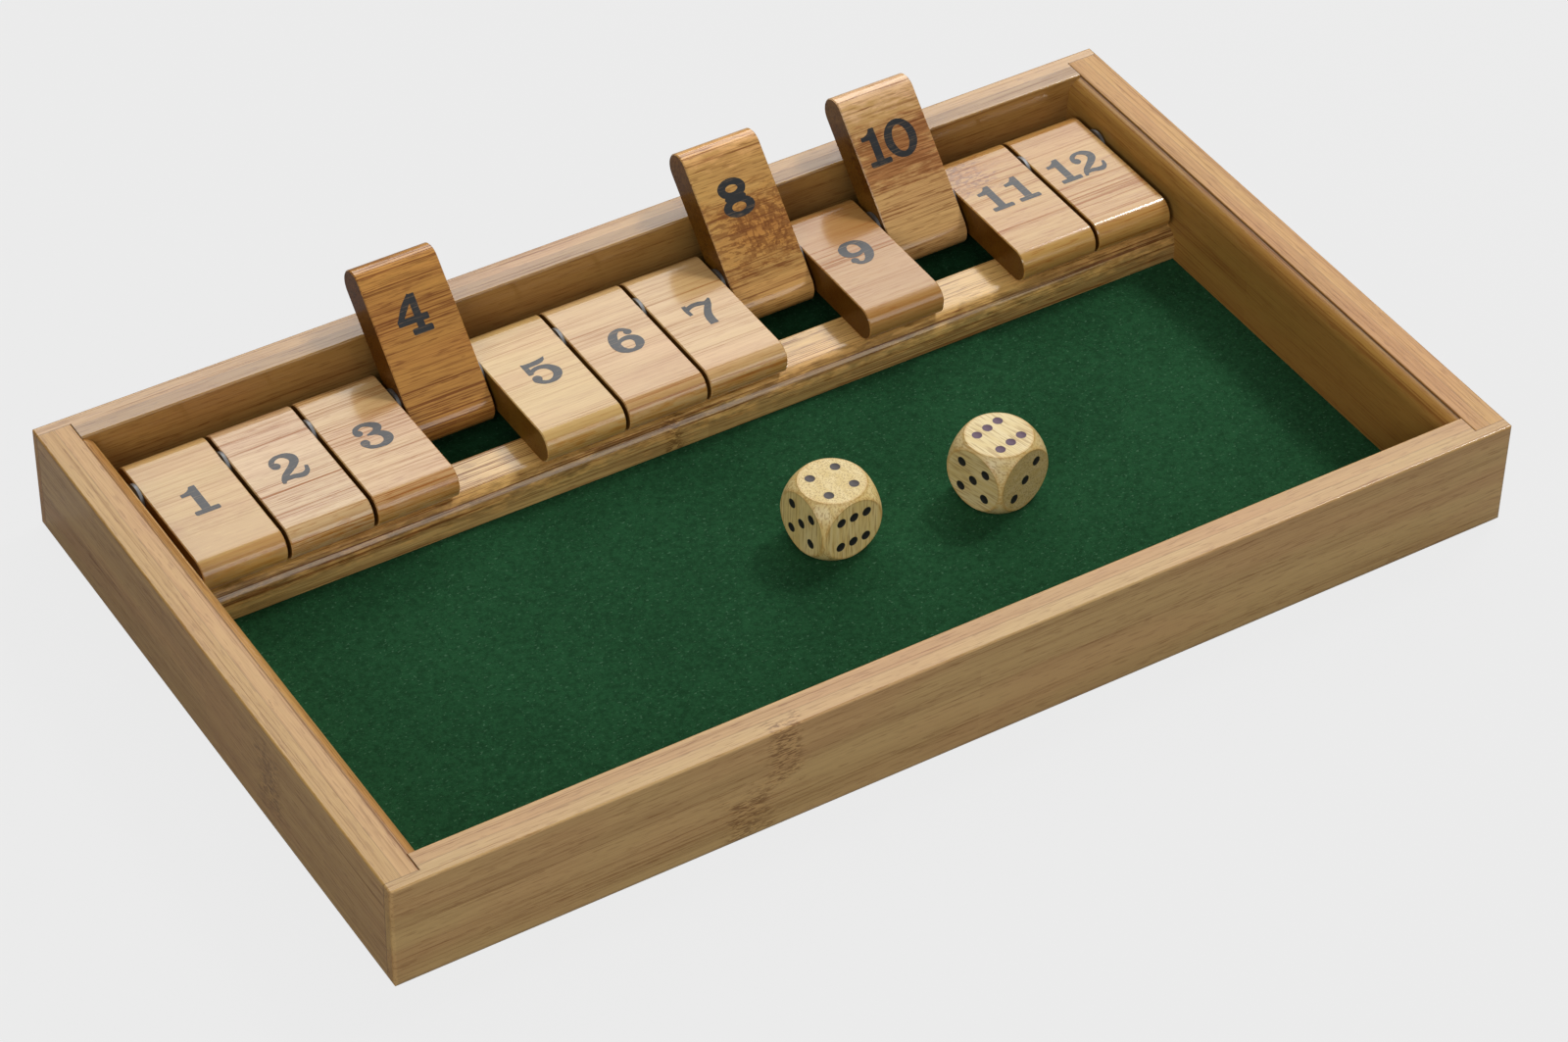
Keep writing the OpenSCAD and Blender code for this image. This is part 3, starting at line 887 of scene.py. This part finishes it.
# %% The ten figures
SIX_WIDTH, SIX_HEIGHT = 9.4, 10.85
SIX = (
    stroke((7.3, 8.4, 0.8), (6.6, 9.66, 0.72), (5.0, 10.15, 0.7), (3.15, 9.2, 1.15), (1.9, 7.1, 1.42),
           (1.45, 4.5, 1.44), (1.84, 2.58, 1.3), (3.05, 1.25, 0.97), (4.7, 0.7, 0.7), (5.5, 0.8, 0.74))
    + ball(7.2, 8.36, 1.2)
    + stroke((4.2, 0.78, 0.72), (4.9, 0.68, 0.68), (6.67, 1.2, 0.97), (7.9, 2.86, 1.35), (7.86, 4.67, 1.3),
             (6.6, 5.95, 1.02), (4.7, 6.15, 0.8), (3.05, 5.5, 0.6), (1.95, 4.1, 0.55))
)
FIGURES = {
    "0": (10.2, ring((5.1, 5.63, 5.1, 5.63), (5.1, 5.63, 2.45, 3.9))),
    "1": (7.55, outline((0, 8.4), (0, 9.7), (1.2, 9.85), (2.2, 10.2), (2.9, 10.8), (3.3, 11.6),
                        (3.6, 11.75), (5.0, 11.75), (5.14, 11.6), (5.14, 8.4))
          + bar(2.56, 5.14, 0.6, 9.2, 0.2) + bar(0.28, 7.55, 0, 1.75, 0.5)),
    "2": (9.4, ball(1.72, 7.44, 1.3)
          + stroke((1.35, 6.9, 0.85), (0.92, 8.2, 0.82), (1.53, 9.75, 0.8), (2.8, 10.6, 0.7),
                   (4.1, 10.8, 0.68), (5.8, 10.3, 1.0), (7.0, 8.9, 1.28), (6.95, 7.25, 1.28),
                   (5.65, 5.6, 1.15), (3.75, 4.1, 1.02), (2.1, 2.75, 0.9), (1.05, 1.28, 0.75),
                   (0.6, 0.05, 0.48))
          + stroke((1.2, 1.0, 0.4), (2.2, 1.47, 0.66), (3.9, 1.55, 0.88), (5.5, 1.15, 0.95),
                   (7.0, 1.1, 0.95), (8.3, 2.1, 0.7), (8.9, 4.1, 0.45))),
    "3": (9.45, ball(1.6, 7.8, 1.28)
          + stroke((1.2, 7.9, 0.9), (1.1, 8.6, 0.78), (1.9, 9.85, 0.75), (3.8, 10.5, 0.7), (5.9, 9.86, 1.0),
                   (7.33, 8.28, 1.28), (6.4, 6.67, 1.0), (4.3, 6.15, 0.5), (3.4, 6.1, 0.25))
          + stroke((3.4, 6.1, 0.25), (4.3, 6.1, 0.5), (6.2, 5.7, 0.85), (7.75, 4.3, 1.3), (8.0, 2.64, 1.42),
                   (6.7, 1.1, 1.1), (4.5, 0.68, 0.7), (2.3, 1.25, 0.75), (1.05, 2.8, 0.85), (0.9, 3.3, 0.8))
          + ball(1.42, 3.42, 1.36)),
    "4": (9.6, stroke((0.8, 4.4, 0.8), (3.3, 7.9, 0.98), (6.1, 11.0, 0.85))
          + bar(5.3, 7.5, 0.6, 11.3, 0.15) + bar(0.05, 9.4, 3.3, 5.2, 0.35) + bar(3.4, 9.6, 0, 1.85, 0.5)),
    "5": (9.2, outline((0.15, 10.7), (1.0, 10.4), (3.0, 10.3), (5.4, 10.55), (7.65, 11.0), (7.2, 9.8),
                       (6.25, 9.0), (5.0, 8.65), (2.2, 8.55), (0.15, 8.55))
          + bar(0.15, 1.75, 5.4, 10.4, 0.3)
          + stroke((1.1, 6.2, 0.65), (2.65, 7.15, 0.72), (4.6, 7.35, 0.78), (6.65, 6.4, 1.05),
                   (7.85, 4.4, 1.33), (7.5, 2.6, 1.28), (6.1, 1.2, 1.0), (4.15, 0.7, 0.7),
                   (2.35, 1.28, 0.76), (1.1, 2.6, 0.88), (0.95, 3.2, 0.8))
          + ball(1.53, 3.3, 1.4)),
    "6": (SIX_WIDTH, SIX),
    "7": (9.1, stroke((0.67, 10.6, 0.64), (0.6, 8.3, 0.66), (0.83, 6.05, 0.55))
          + stroke((0.83, 8.7, 0.72), (2.1, 9.4, 0.78), (3.75, 9.75, 0.83), (5.4, 9.53, 0.9),
                   (6.95, 9.1, 0.72), (8.2, 9.8, 0.55), (8.8, 10.55, 0.3))
          + stroke((8.5, 10.1, 0.5), (7.35, 8.15, 0.95), (6.0, 6.2, 1.05), (5.1, 4.25, 1.2),
                   (4.75, 2.17, 1.28), (4.72, 0.03, 1.3))),
    "8": (10.1, ring((4.75, 8.4, 4.4, 2.97), (4.75, 8.4, 1.95, 1.05))
          + ring((5.15, 2.9, 4.95, 2.9), (5.1, 2.9, 2.25, 1.3)) + blob(4.95, 5.65, 3.4, 1.3)),
    "9": (SIX_WIDTH, turned(SIX, SIX_WIDTH, SIX_HEIGHT)),
}
print("figures:", " ".join(FIGURES))

# %% [markdown]
# ## Numbers of two figures
# A tile is only so wide, so in 10, 11 and 12 the figures are set a little narrower and lower,
# and close together. The round 0 keeps its size.

# %% Setting a number
# Of each pair: how wide and high its figures are drawn, and the step to the second one in mm.
PAIRS = {"10": (0.95, 0.945, 6.9), "11": (0.95, 0.97, 9.1), "12": (0.93, 0.95, 7.8)}


def squeezed(shapes, wide, high):
    """The same shapes, drawn narrower and lower."""
    return [[Vector((p.x * wide, p.y * high)) for p in shape] for shape in shapes]


def moved(shapes, step):
    """The same shapes, further to the right."""
    return [[p + Vector((step, 0)) for p in shape] for shape in shapes]


def number_shapes(text):
    """The shapes of a number, in millimetres from its lower left corner, and its width."""
    width, shapes = FIGURES[text[-1]]
    if len(text) == 1:
        return shapes, width
    wide, high, step = PAIRS[text]
    if text[-1] != "0":
        width, shapes = width * wide, squeezed(shapes, wide, high)
    return squeezed(FIGURES[text[0]][1], wide, high) + moved(shapes, step), step + width


print("width of 12:", round(number_shapes("12")[1], 1), "mm")

# %% [markdown]
# ## Printing
# The print is a real skin of ink a few hundredths of a millimetre thick, sunk a little into
# the wood, so it rides with its tile and shows in the mesh as well. A triangulation that knows
# which shape each triangle came from joins the overlapping shapes into one outline. Before
# that, noise makes the outline as ragged as a printed edge. This noise would start from the
# clock, so it is given a seed, and every run prints the same edges.

# %% Printing a number
INK_THICKNESS = 0.035 * MM
INK_SUNK = 0.02 * MM
PRINT_RAGGEDNESS = 0.045
FINE_RAGS, COARSE_RAGS = 2.6, 0.9
FINE_SHARE = 0.8
PRINT_SEED = 12
# The triangulation's way of answering, and how close together two points count as one.
ALL_TRIANGLES, SAME_POINT = 0, 1e-6
noise.seed_set(PRINT_SEED)


def anticlockwise(shape):
    """The same outline, walked anticlockwise, as the triangulation asks."""
    area = sum(a.cross(b) for a, b in zip(shape, shape[1:] + shape[:1]))
    return shape if area > 0 else shape[::-1]


def ragged_edge(p, seed):
    """A printed edge is never quite clean: the point moved a little by noise."""
    fine = noise.noise_vector(Vector((p.x * FINE_RAGS, p.y * FINE_RAGS, seed)))
    coarse = noise.noise_vector(Vector((p.x * COARSE_RAGS, p.y * COARSE_RAGS, seed + 5)))
    return p + (fine.xy * FINE_SHARE + coarse.xy) * PRINT_RAGGEDNESS


def thicken(skin):
    """Copies an open skin with walls between, and returns the points of the copy."""
    copy = bmesh.ops.extrude_face_region(skin, geom=skin.faces[:], use_keep_orig=True)["geom"]
    return [v for v in copy if isinstance(v, bmesh.types.BMVert)]


def closed_object(name, skin, material):
    """The object of a closed skin, with its faces looking out."""
    bmesh.ops.recalc_face_normals(skin, faces=skin.faces[:])
    mesh = bpy.data.meshes.new(name)
    skin.to_mesh(mesh)
    skin.free()
    mesh.materials.append(material)
    return add_object(name, mesh)


def print_number(name, shapes, placing, seed, material):
    """A thin closed skin of ink. placing takes millimetres on the page to metres on the tile."""
    points, faces = [], []
    for shape in shapes:
        faces.append(list(range(len(points), len(points) + len(shape))))
        points.extend(ragged_edge(p, seed) for p in anticlockwise(shape))
    joined = delaunay_2d_cdt(points, [], faces, ALL_TRIANGLES, SAME_POINT, True)
    flat_points, _, triangles, _, _, sources = joined
    triangles = [t for t, source in zip(triangles, sources) if source]
    skin = bmesh.new()
    top = {}
    for i in sorted({i for t in triangles for i in t}):
        top[i] = skin.verts.new(placing @ Vector((*flat_points[i], INK_THICKNESS / MM)))
    for t in triangles:
        skin.faces.new([top[i] for i in t])
    down = (placing.to_3x3() @ Vector((0, 0, -1))).normalized() * (INK_THICKNESS + INK_SUNK)
    bmesh.ops.translate(skin, verts=thicken(skin), vec=down)
    return closed_object(name, skin, material)


print("ink stands", INK_THICKNESS / MM, "mm proud")

# %% [markdown]
# ## Ink
# Printing ink sinks into the grain, so the pale streaks of the bamboo show through it a
# little, most where it has worn. It lies under the lacquer and shines as the tile does.

# %% The ink
INK_BLACK, INK_GREY = (0.010, 0.012, 0.014, 1), (0.022, 0.023, 0.025, 1)
WOOD_THROUGH_INK = (0.19, 0.12, 0.06, 1)
INK_STREAKS, INK_WEAR = ((14, 0.34, 0.34), 3.0), ((1.6, 0.8, 0.8), 3.0)
STREAK_EDGE, WEAR_EDGE, THINNED = (0.52, 0.66), (0.30, 0.60), 0.6
INK_ROUGHNESS = (0.36, 0.25)
INK_RELIEF = 0.03 * MM


def make_ink():
    """Black ink in which the pale streaks of the bamboo show a little."""
    ink, tree, shader = new_material("black_ink", Coat_Weight=0.45, Coat_Roughness=0.2, Coat_IOR=1.6,
                                     Specular_IOR_Level=0.4)
    point = surface_point(tree)
    streaks = spots(tree, point, *INK_STREAKS)
    wear = spots(tree, point, *INK_WEAR)
    thin = times(tree, remap(tree, streaks, *STREAK_EDGE), remap(tree, wear, *WEAR_EDGE))
    black = mix(tree, wear, INK_BLACK, INK_GREY)
    colour = mix(tree, times(tree, thin, THINNED), black, WOOD_THROUGH_INK)
    feed(tree, shader, Base_Color=colour, Roughness=linear(tree, streaks, *INK_ROUGHNESS))
    bumped(tree, shader, streaks, INK_RELIEF)
    return ink


ink = make_ink()
print("ink ready")

# %% [markdown]
# ## Numbers on both faces
# Each tile is printed by itself, so on the tops most numbers sit a little differently, and
# their places are listed. The others are centred, and those on the underside all sit a little
# to the left. A number is placed as if its tile lay flat, and for a raised tile it is then
# swung about the rod together with the tile.

# %% Numbers on both faces of every tile
# The lower left corner of a number on top, in mm from the tile's middle and from its free end.
TOP_PLACES = {1: (-4.15, 20.3), 2: (-4.33, 20.1), 3: (-4.8, 20.5), 5: (-3.35, 20.7), 6: (-3.35, 20.8),
              7: (-3.8, 20.1), 9: (-4.45, 21.4), 11: (-7.6, 22.4), 12: (-9.1, 23.2)}
TOP_BASELINE = 20.6
UNDER_SHIFT = 0.9
UPRIGHT_FROM_ROD = 15.2 * MM


def number_tile(n):
    """Prints the number of one tile on its top and on its underside."""
    shapes, width = number_shapes(str(n))
    centred = -width / 2
    margin, baseline = TOP_PLACES.get(n, (centred, TOP_BASELINE))
    size = Matrix.Diagonal((MM, MM, MM, 1))
    turn = Matrix.Translation(rod) @ Matrix.Rotation(-raise_angle[n], 4, "X") @ Matrix.Translation(-rod)
    top = Matrix.Translation((tile_middle[n] + margin * MM, flat_low.y + baseline * MM, flat_high.z)) @ size
    corner = (tile_middle[n] + (centred - UNDER_SHIFT) * MM, rod.y - UPRIGHT_FROM_ROD, flat_low.z)
    under = Matrix.Translation(corner) @ Matrix.Rotation(math.pi, 4, "X") @ size
    for face, place in (("top", top), ("under", under)):
        printed = print_number(f"number_{n}_{face}", shapes, turn @ place, n, ink)
        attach(printed, f"tile_{n}")
    return len(printed.data.polygons)


print("triangles per number:", [number_tile(n) for n in TILES])

# %% [markdown]
# ## Dice
# The dice are small cubes of pale hardwood, rounded by turning each against a hollow sphere,
# so that every face ends in a circle. The pips are shallow drilled hollows filled with black
# paint. The shader finds them by itself: a point of the surface that lies neither on the flat
# faces nor on the sphere can only be inside a pip. On the face that lies on top the paint is
# drawn paler: a painted sheen, the light that the top pips mirror.

# %% What the dice are made of
# Of each die: its turn on the felt, its grain, a tone over its wood, and the paler paint of its top pips,
# which is painted sheen.
DICE = {
    "die_left": dict(turn=5, grain="Z", tone=(1.15, 1.16, 1.32, 1), top_pip_sheen=(0.08, 0.066, 0.066, 1)),
    "die_right": dict(turn=15, grain="Y", tone=(1.02, 1.04, 1.30, 1), top_pip_sheen=(0.13, 0.075, 0.115, 1)),
}
PALE_WOOD, YELLOW_WOOD = (0.80, 0.64, 0.27, 1), (0.72, 0.54, 0.18, 1)
PORE_BROWN, RIM_GOLD = (0.42, 0.24, 0.06, 1), (0.60, 0.36, 0.10, 1)
DIE_ENDS, BLACK_PAINT = (0.86, 0.84, 0.80, 1), (0.009, 0.009, 0.010, 1)
PORES, GROWTH = (9, 0.5, 0.5), (30, 1.6, 3.5)
PORE_EDGE, PORE_SHARE, GROWTH_EDGE = (0.5, 0.62), 0.65, (0.3, 0.7)
GOLD_EDGE, GOLD_SHARE, LEAST_GOLD = (0.42, 0.56), (0.2, 0.55), 0.06
# Soft edges, as distances below the flat faces, the sphere or the nearest face.
DIE_SPHERE = 13.7 * MM
END_FACE, UPPER_FACE = (0.3 * MM, 0.1 * MM), (2 * MM, 1.5 * MM)
SPHERE_CUT, WELL_INSIDE = (0.5 * MM, 0.1 * MM), 0.35 * MM
RIM, PIP_EDGE = (0.9 * MM, 0.1 * MM), (0.015 * MM, 0.05 * MM)


def below(limit, edge):
    """The two ends of a soft edge that is given as distances below a limit."""
    return [limit - distance for distance in edge]


def grain_along(axis, sizes):
    """Sizes given along the grain and across it, put in the order X, Y, Z."""
    shift = "XYZ".index(axis)
    return sizes[-shift:] + sizes[:-shift]


def die_point(tree, middle, turn):
    """The point from the die's middle, with the die's turn on the felt undone."""
    inputs = {"Vector": surface_point(tree), "Center": middle, "Angle": -math.radians(turn)}
    straight = put(tree, "VectorRotate", inputs, rotation_type="Z_AXIS").outputs[0]
    return vector_calc(tree, "SUBTRACT", straight, middle)


def die_wood(tree, point, pores, grain, tone, half):
    """Pale wood with growth rings and pores, a little darker on its end grain."""
    growth = spots(tree, point, grain_along(grain, GROWTH), 2.0)
    wood = mix(tree, remap(tree, growth, *GROWTH_EDGE), PALE_WOOD, YELLOW_WOOD)
    wood = mix(tree, times(tree, remap(tree, pores, *PORE_EDGE), PORE_SHARE), wood, PORE_BROWN)
    wood = mix(tree, 1.0, wood, tone, "MULTIPLY")
    along = calc(tree, "ABSOLUTE", split(tree, point)["XYZ".index(grain)])
    return tint(tree, remap(tree, along, *below(half, END_FACE)), wood, DIE_ENDS)


def golden_rims(tree, wood, pores, reach, sunk):
    """The wood, golden where the sphere cut it, and most so near the edges of the faces."""
    rounded = remap(tree, reach, *below(DIE_SPHERE, SPHERE_CUT))
    golden = linear(tree, remap(tree, pores, *GOLD_EDGE), *GOLD_SHARE)
    golden = linear(tree, golden, LEAST_GOLD, remap(tree, sunk, *RIM))
    return mix(tree, times(tree, rounded, golden), wood, RIM_GOLD)


def find_pips(tree, reach, sunk):
    """A mask that is 1 in the pips: below the flat faces, and well inside the sphere."""
    inside = calc(tree, "LESS_THAN", reach, DIE_SPHERE - WELL_INSIDE)
    return times(tree, inside, remap(tree, sunk, *PIP_EDGE))


print("a pore of the dice is", PORES[0], "mm long and", PORES[1], "mm wide")

# %% [markdown]
# ## Finishing the dice
# Both dice share the same wood, but one lies with its grain upright and the other with it
# across, and each was turned a little on the felt. The point is first turned back, so that
# the faces lie straight, and then two distances are enough: how far it is from the middle,
# and how far below the nearest face.

# %% Dice finish
DIE_ROUGHNESS, PIP_ROUGHNESS, DIE_COAT = (0.34, 0.2), 0.62, 0.12
DIE_RELIEF = 0.03 * MM


def make_die(name, turn, grain, tone, top_pip_sheen):
    """Pale lacquered wood with black pips."""
    low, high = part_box(name)
    middle, half = (low + high) / 2, (high.z - low.z) / 2
    material, tree, shader = new_material(name + "_wood", Coat_Roughness=0.15)
    point = die_point(tree, middle, turn)
    sunk = minus(tree, half, largest(tree, sizes_of(tree, point)))
    reach = put(tree, "VectorMath", {0: point}, operation="LENGTH").outputs[1]
    pip = find_pips(tree, reach, sunk)
    pores = spots(tree, point, grain_along(grain, PORES), 2.0)
    wood = die_wood(tree, point, pores, grain, tone, half)
    wood = golden_rims(tree, wood, pores, reach, sunk)
    # The paint of the pips on the face on top is drawn paler: painted sheen.
    upper = remap(tree, split(tree, point)[2], *below(half, UPPER_FACE))
    paint = mix(tree, upper, BLACK_PAINT, top_pip_sheen)
    rough = calc(tree, "MAXIMUM", linear(tree, pores, *DIE_ROUGHNESS), times(tree, pip, PIP_ROUGHNESS))
    coat = times(tree, minus(tree, 1.0, pip), DIE_COAT)
    feed(tree, shader, Base_Color=mix(tree, pip, wood, paint), Roughness=rough, Coat_Weight=coat)
    bumped(tree, shader, pores, DIE_RELIEF)
    finish_with(material, name)
    return round(half * 2 / MM, 2)


print("dice, edge in mm:", [make_die(name, **die) for name, die in DICE.items()])

# %% [markdown]
# ## Felt
# The floor of the tray is a sheet of wool felt glued to the base panel: deep green, quite
# matt, slightly uneven, and made of short tangled fibres. The fibres are too fine to model all
# over, so the material carries them as noise, with specks of loose lint on top that catch the
# light as they do on a used board. A trace of sheen stands for the fibres' fuzz.

# %% Felt finish
FELT_DEEP, FELT_BRIGHT = (0.0055, 0.040, 0.013, 1), (0.0135, 0.076, 0.027, 1)
FELT_LINT, FELT_SHEEN = (0.06, 0.15, 0.08, 1), (0.35, 0.75, 0.45, 1)
TANGLE, CLUMPS = ((0.9, 0.9, 0.9), 4.0, 0.8), ((2.2, 2.2, 2.2), 3.0)
NAP, LINT = ((40, 40, 40), 2.0), ((1.1, 0.7, 0.7), 1.0)
TANGLE_SHARE, CLUMP_SHARE, NAP_SHARE = 0.62, 0.25, 0.13
SHADE_EDGE, LINT_EDGE, LINT_SHARE = (0.40, 0.60), (0.64, 0.74), 0.8
FELT_RELIEF = 0.25 * MM


def make_felt_material():
    """Deep green wool, mottled at the size of its fibres."""
    felt, tree, shader = new_material("green_felt", Roughness=1.0, Specular_IOR_Level=0.1,
                                      Sheen_Weight=0.12, Sheen_Roughness=0.5, Sheen_Tint=FELT_SHEEN)
    point = surface_point(tree)
    tangle = spots(tree, point, *TANGLE)
    clumps = times(tree, spots(tree, point, *CLUMPS), CLUMP_SHARE)
    nap = times(tree, spots(tree, point, *NAP), NAP_SHARE)
    lint = remap(tree, spots(tree, point, *LINT), *LINT_EDGE)
    shade = total(tree, times(tree, tangle, TANGLE_SHARE), clumps, nap)
    green = mix(tree, remap(tree, shade, *SHADE_EDGE), FELT_DEEP, FELT_BRIGHT)
    feed(tree, shader, Base_Color=mix(tree, times(tree, lint, LINT_SHARE), green, FELT_LINT))
    bumped(tree, shader, tangle, FELT_RELIEF)
    return felt


green_felt = make_felt_material()
print("felt finish:", len(green_felt.node_tree.nodes), "nodes")

# %% [markdown]
# ## The sheet of felt
# Cloth that lies glued down needs no simulation. It is built as a real sheet with a fine grid
# on top, whose points rise and fall by hundredths of a millimetre with noise, and is closed by
# sides and a flat underside. It takes the place of the plain block that came with the model.

# %% Felt sheet
FELT_CELL = 1.5 * MM
FELT_HOLLOWS = 0.10 * MM
SWELL_SIZE, GRIT_SIZE = 5 * MM, 1.4 * MM
SWELL_SHARE, GRIT_SHARE = 0.6, 0.4


def felt_height(x, y):
    """The height of the felt's top: slow swells with a fine grit on them."""
    swell = 0.5 + 0.5 * noise.noise(Vector((x, y, 0)) / SWELL_SIZE)
    grit = 0.5 + 0.5 * noise.noise(Vector((x, y, 7)) / GRIT_SIZE)
    return felt_high.z - FELT_HOLLOWS * (SWELL_SHARE * swell + GRIT_SHARE * grit)


def make_felt(size):
    """The sheet: a fine grid on top, closed by sides and an underside."""
    across, along = (round(side / FELT_CELL) for side in size.xy)
    sheet = bmesh.new()
    bmesh.ops.create_grid(sheet, x_segments=across, y_segments=along, size=0.5)
    for v in sheet.verts:
        x = felt_low.x + (v.co.x + 0.5) * size.x
        y = felt_low.y + (v.co.y + 0.5) * size.y
        v.co = Vector((x, y, felt_height(x, y)))
    for v in thicken(sheet):
        v.co.z = felt_low.z
    return closed_object("felt_sheet", sheet, green_felt)


felt_size = felt_high - felt_low
felt_sheet = make_felt(felt_size)
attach(felt_sheet, "tray")
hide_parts("felt_baize")
print("felt:", in_mm(felt_size.xy), "mm,", len(felt_sheet.data.polygons), "faces")

# %% [markdown]
# ## Base board
# The panel under the felt is thin plywood: pale rotary-cut veneer with a wide, wandering
# figure. Only its underside is ever seen, when the box is picked up. The figure is made as a
# map's contour lines are: the height of slowly changing noise is cut into bands.

# %% Plywood
PLY_LIGHT, PLY_DARK, PLY_PORE = (0.62, 0.44, 0.26, 1), (0.50, 0.32, 0.16, 1), (0.30, 0.17, 0.08, 1)
VENEER_FIGURE, VENEER_PORES = ((160, 14, 14), 4.0, 0.6), ((5, 0.35, 0.35), 2.0)
VENEER_BANDS = 9.0
BAND_EDGE, VENEER_PORE_EDGE, VENEER_PORE_SHARE = (0.2, 0.9), (0.55, 0.75), 0.4
VENEER_ROUGHNESS = (0.55, 0.2)
VENEER_RELIEF = 0.05 * MM


def make_plywood():
    """Rotary-cut veneer, unlacquered."""
    plywood, tree, shader = new_material("plywood", Specular_IOR_Level=0.3)
    point = surface_point(tree)
    figure = times(tree, spots(tree, point, *VENEER_FIGURE), VENEER_BANDS)
    pores = spots(tree, point, *VENEER_PORES)
    veneer = mix(tree, remap(tree, calc(tree, "FRACT", figure), *BAND_EDGE), PLY_LIGHT, PLY_DARK)
    pitted = times(tree, remap(tree, pores, *VENEER_PORE_EDGE), VENEER_PORE_SHARE)
    veneer = mix(tree, pitted, veneer, PLY_PORE)
    feed(tree, shader, Base_Color=veneer, Roughness=linear(tree, pores, *VENEER_ROUGHNESS))
    bumped(tree, shader, pores, VENEER_RELIEF)
    return plywood


finish_with(make_plywood(), "base_panel")
print("plywood on the base panel")
